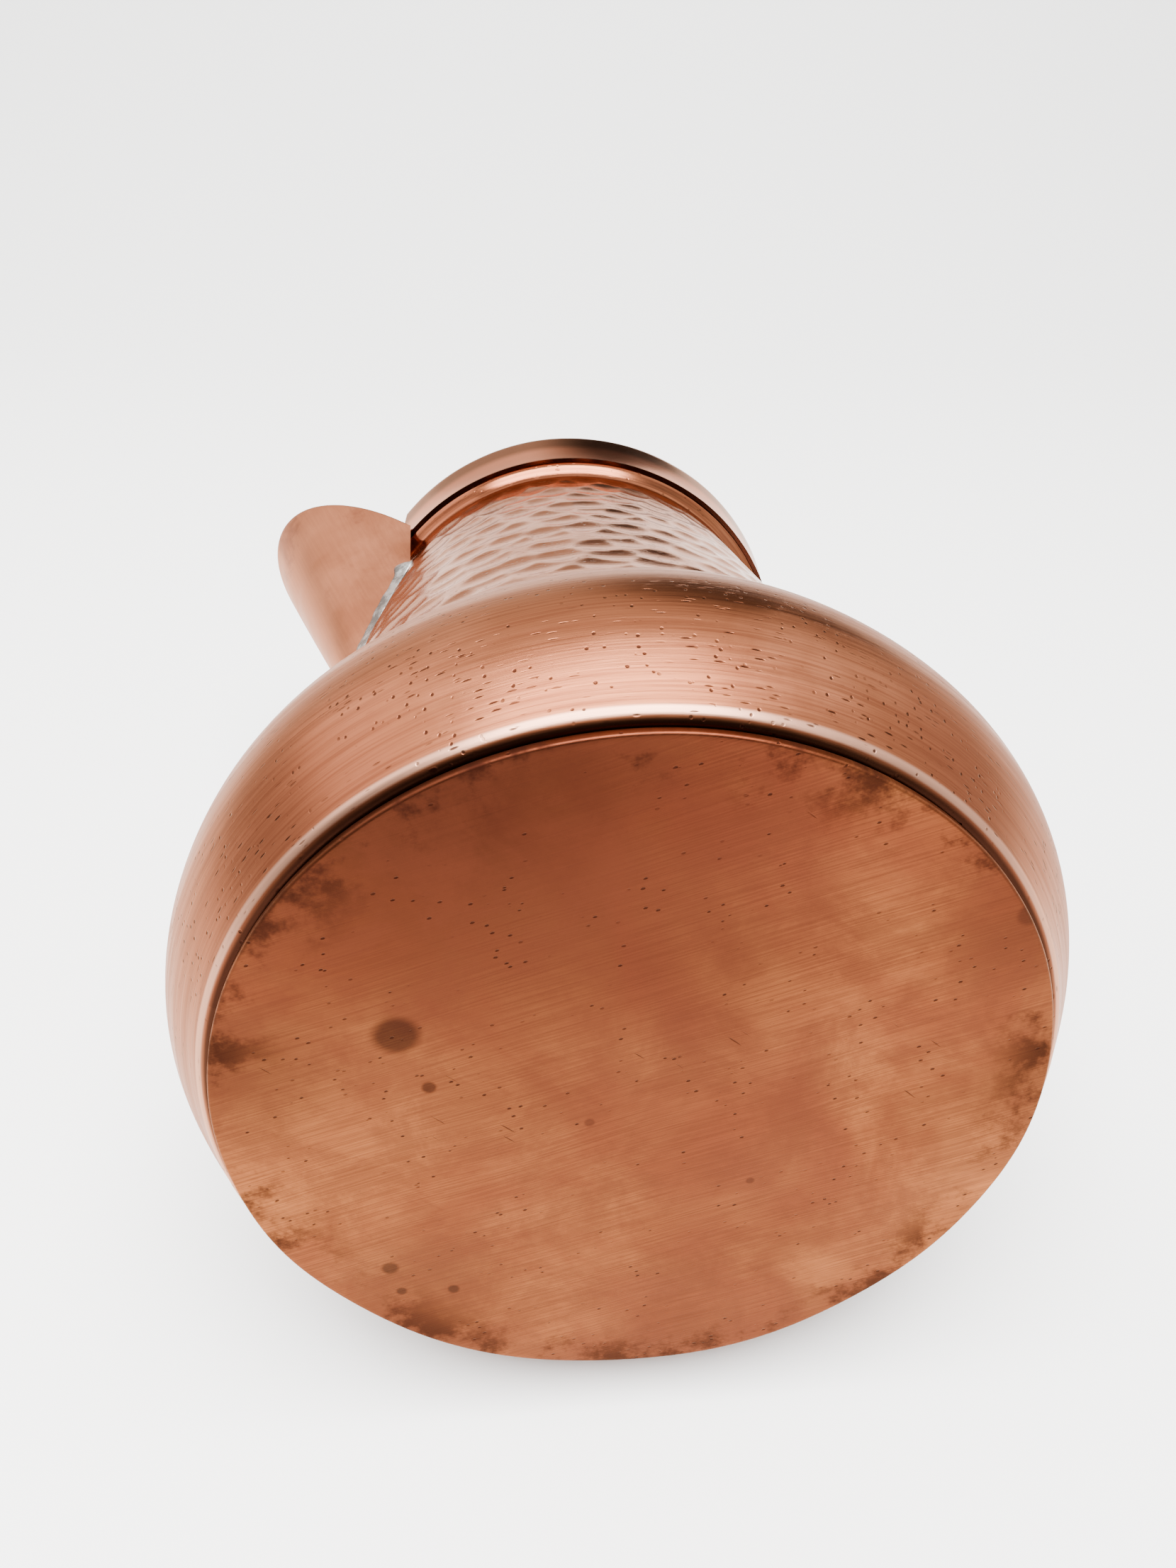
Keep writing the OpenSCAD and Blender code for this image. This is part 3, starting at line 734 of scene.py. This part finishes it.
def make_rim():
    roll_r = FOLD_R + SHEET
    centre = np.array([rim_r - roll_r, rim_z - roll_r])
    low = np.array([rim_r - BAND_FLARE, BAND_LOW_Z])
    low_pull = low + [0.1 * MM, 6 * MM]
    high_pull = [rim_r - 0.4 * MM, centre[1] - 4 * MM]
    outer = curve([low, low_pull, high_pull, [rim_r, centre[1]]], np.linspace(0, 1, 16))
    inner = outer - [SHEET, 0]
    outline = np.concatenate([outer, arc(centre, roll_r, 0, 200, 22)[1:],
                              arc(centre, FOLD_R, 200, 0, 22), inner[::-1][1:]])
    dents = waves(8, 7, 3, 14)

    def shift(a, r, z, k):
        return 0.07 * MM * wave_sum(a, z * 0, dents)

    rim = make_object("rim_fold", *revolve(outline, 360, shift), polished, "rim_band", "polished_copper")
    cut_away(rim, *spout_way())
    sharpen(rim, 50)


# ---- The spout: sheet bent to a cone from one point inside the neck ----
CONE_POINT = np.array([-39.87, 0, 69.01]) * MM
CONE_HALF = math.radians(20.22)
CONE_LEAN = math.radians(-0.67)
CONE_FLAT = 0.70
LIP_SLOPE = math.tan(math.radians(35.23))


def ray_of(side):
    """Direction of the cone's line at an angle round from its outermost line."""
    lean, c = CONE_LEAN, CONE_HALF
    ax = np.array([-math.sin(lean), 0, math.cos(lean)])
    out = np.array([-math.cos(lean), 0, -math.sin(lean)])
    sideways = CONE_FLAT * math.sin(side) * np.array([0, -1, 0])
    return unit(math.cos(c) * ax + math.sin(c) * (math.cos(side) * out + sideways))


def wall_radius(z):
    """Radius of the neck's and band's outer face at a height."""
    heights = np.array([ROOT[1], COVE_Z, COVE_Z + 1.6 * MM, BAND_LOW_Z, rim_z - 3 * MM, rim_z + 30 * MM])
    radii = np.array([ROOT[0], NECK_R, NECK_R + 0.5 * MM, rim_r - BAND_FLARE, rim_r, rim_r])
    return np.interp(z, heights, radii)


def lip_height(p):
    return (167.51 * MM + (-p[0] - 55.4 * MM) * LIP_SLOPE) - 1.05 * MM * (p[1] / (20 * MM)) ** 2


def outside_wall(p):
    return math.hypot(p[0], p[1]) > wall_radius(p[2])


def above_lip(p):
    return p[2] > lip_height(p)


def crossing(direction, test, low, high):
    """How far along a line from the cone's point the test first holds."""
    for _ in range(50):
        mid = (low + high) / 2
        if test(CONE_POINT + mid * direction):
            high = mid
        else:
            low = mid
    return low


def spout_lines(limit, count):
    """For each line of the cone: its direction, where it leaves the wall and where it meets the lip."""
    lines = []
    for side in np.radians(np.linspace(-limit, limit, count)):
        g = ray_of(side)
        start = crossing(g, outside_wall, 25 * MM, 128 * MM)
        end = crossing(g, above_lip, 60 * MM, 160 * MM)
        lines.append((side, g, start, max(end, start + 0.4 * MM)))
    return lines


def cone_normal(side):
    step = 0.002
    across = ray_of(side + step) - ray_of(side - step)
    n = unit(np.cross(ray_of(side), across))
    return n if n[0] * math.cos(side) <= 0 else -n


def make_spout():
    lines = spout_lines(71.0, 121)
    steps = 56
    dents = waves(31, 6, 2, 6)
    columns = []
    for side, g, start, end in lines:
        n = cone_normal(side)
        start -= 0.4 * MM
        reach = np.linspace(start, end, steps)
        share = (reach - start) / (lines[60][3] - lines[60][2])
        dent = 0.12 * MM * wave_sum(side * 1.5, reach, dents) * smooth(share, 0.05, 0.3)
        outer = CONE_POINT + reach[:, None] * g + dent[:, None] * n
        inner = outer - SHEET * n
        lip = outer[-1] - SHEET / 2 * n
        round_ = [lip + SHEET / 2 * (math.cos(t) * n + math.sin(t) * g)
                  for t in np.linspace(0, math.pi, 8)[1:-1]]
        columns.append(np.concatenate([outer, round_, inner[::-1]]))
    verts, faces = joined_loops(columns)
    spout = make_object("spout_shell", verts, faces, spout_finish(), "spout", "brushed_copper")
    sharpen(spout, 50)


def make_seam():
    """The uneven grey line of tin where the spout meets the neck, thicker at its two top ends."""
    lines = spout_lines(70.0, 181)
    points = np.array([CONE_POINT + start * g for _, g, start, _ in lines])
    tangents = np.gradient(points, axis=0)
    rng = np.random.default_rng(3)
    travel = np.concatenate([[0], np.cumsum(np.linalg.norm(np.diff(points, axis=0), axis=1))])
    wobble = np.zeros(len(points))
    for _ in range(10):
        length = rng.uniform(4 * MM, 22 * MM)
        wobble += 0.10 * np.cos(2 * math.pi * travel / length + rng.uniform(0, 6.28))
    rings = []
    for i, (side, g, _, _) in enumerate(lines):
        t = unit(tangents[i])
        p = points[i]
        wall_n = unit(np.array([p[0], p[1], 0.11 * math.hypot(p[0], p[1])]))
        cone_n = cone_normal(side)
        on_wall = unit(np.cross(t, wall_n))
        if np.dot(on_wall, g) > 0 and abs(p[1]) < 4 * MM or np.dot(on_wall, p * [0, 1, 0]) < 0:
            on_wall = -on_wall
        on_cone = unit(np.cross(t, cone_n))
        if np.dot(on_cone, g) < 0:
            on_cone = -on_cone
        ends = min(1.0, 0.75 + (min(travel[i], travel[-1] - travel[i]) / (4 * MM)))
        drop = math.exp(-((min(travel[i], travel[-1] - travel[i]) - 1.5 * MM) / (2.4 * MM)) ** 2)
        wide = (2.0 + 0.5 * wobble[i] + 1.2 * drop) * MM * ends
        a = p + wide * on_wall - 0.20 * MM * wall_n
        b = p + wide * 0.9 * on_cone - 0.12 * MM * cone_n
        swell = (0.20 + 0.25 * drop) * wide * unit(wall_n + cone_n)
        mid = p + 0.22 * wide * (on_wall + on_cone) + swell
        s = np.linspace(0, 1, 8)[:, None]
        ring = (1 - s) ** 2 * a + 2 * s * (1 - s) * mid + s * s * b
        rings.append(np.concatenate([ring, [p - 0.5 * MM * unit(wall_n + cone_n)]]))
    verts, faces = joined_loops(rings)
    make_object("seam_tin", verts, faces, tin, "spout_tin", "tin")


# ---- The handle: a strap bowed from the neck to the shoulder, opposite the spout ----
STRAP_T = 2.6 * MM
STRAP_LIFT = 0.4 * MM
FOOT_LEN = 22 * MM
STRAP_FROM = 9.6 * MM


def make_handle():
    upper = np.array([NECK_R, COVE_Z]) - 16 * MM * neck_dir
    upper_n = np.array([neck_dir[1], -neck_dir[0]])
    share_mm = 1 / np.linalg.norm(np.array(shoulder[3]) - np.array(shoulder[0]))
    low_share = 0.34

    def on_shoulder(share):
        here = curve(shoulder, share)[0]
        way = unit((curve(shoulder, share + 0.01) - curve(shoulder, share - 0.01))[0])
        return here, way, np.array([way[1], -way[0]])

    half = STRAP_T / 2
    out = half + STRAP_LIFT
    start = upper + out * upper_n + STRAP_FROM * neck_dir
    top = np.array([(NECK_R + handle_reach) / 2, rim_z - 18 * MM])
    low_p, low_way, low_n = on_shoulder(low_share)
    side = np.array([handle_reach - half, (top[1] + low_p[1]) * 0.56])
    end_p, end_way, end_n = on_shoulder(low_share + STRAP_FROM * share_mm)
    end = end_p + end_n * out
    path, foot = [], []
    for d in np.linspace(-FOOT_LEN / 2, STRAP_FROM - 1.5 * MM, 26):
        path.append(upper + d * neck_dir + half * upper_n)
        foot.append(1.0)
    bows = [[start, start + 8 * MM * neck_dir, top - [15 * MM, 0], top],
            [top, top + [15 * MM, 0], side + [0, 25 * MM], side],
            [side, side - [0, 25 * MM], end + 20 * MM * low_way, end]]
    for k, p in enumerate(bows):
        part = curve(p, np.linspace(0, 1, 32)[(1 if k else 0):])
        path += list(part)
        foot += [0.0] * len(part)
    from_share = low_share + (STRAP_FROM - 1.5 * MM) * share_mm
    for share in np.linspace(from_share, low_share - FOOT_LEN / 2 * share_mm, 26):
        here, _, n = on_shoulder(share)
        path.append(here + half * n)
        foot.append(1.0)
    path, foot = np.array(path), np.array(foot)
    for _ in range(5):
        foot[1:-1] = (foot[:-2] + foot[1:-1] * 2 + foot[2:]) / 4
    travel = np.concatenate([[0], np.cumsum(np.linalg.norm(np.diff(path, axis=0), axis=1))])
    heading = np.gradient(path, axis=0)
    heading /= np.linalg.norm(heading, axis=1)[:, None]
    rings = []
    count = 44
    around = np.linspace(0, 2 * math.pi, count, endpoint=False)
    lateral = np.sign(np.cos(around)) * np.abs(np.cos(around)) ** 0.4
    thick = np.sign(np.sin(around)) * np.abs(np.sin(around)) ** 0.4
    for i, p in enumerate(path):
        from_end = min(travel[i], travel[-1] - travel[i])
        half_w = 9 * MM + 0.9 * MM * foot[i]
        rounding = 6 * MM
        if from_end < rounding:
            half_w -= rounding * (1 - math.sqrt(1 - (1 - from_end / rounding) ** 2)) * 0.9
        n = np.array([heading[i][1], -heading[i][0]])
        y = half_w * lateral
        bend = (p[0] - np.sqrt(p[0] ** 2 - y ** 2)) * foot[i]
        r = p[0] + n[0] * half * thick - bend * abs(n[0])
        z = p[1] + n[1] * half * thick - bend * n[1] * np.sign(n[0])
        rings.append(np.stack([r, y, z], 1))
    verts, faces = joined_loops(rings)
    handle = make_object("strap_handle", verts, faces, strap_copper, "handle", "polished_copper")
    sharpen(handle, 50)


make_base()
make_bowl()
make_neck()
make_rim()
make_spout()
make_seam()
make_handle()

# ---- The design's own pieces that are shown ----
wire_copper = polished_finish("drawn_wire", 0.24, rgb(170, 104, 80))
rivet_copper = rivet_finish()
SHOWN = {
    "base_tin": tin,
    "neck_braze": brass_finish(),
    "rim_wire": wire_copper,
    "upper_rivets": rivet_copper,
    "upper_burrs": rivet_copper,
    "lower_rivets": rivet_copper,
    "lower_burrs": rivet_copper,
}
for name, material in SHOWN.items():
    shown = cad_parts[name]
    shown.data.materials.clear()
    shown.data.materials.append(material)
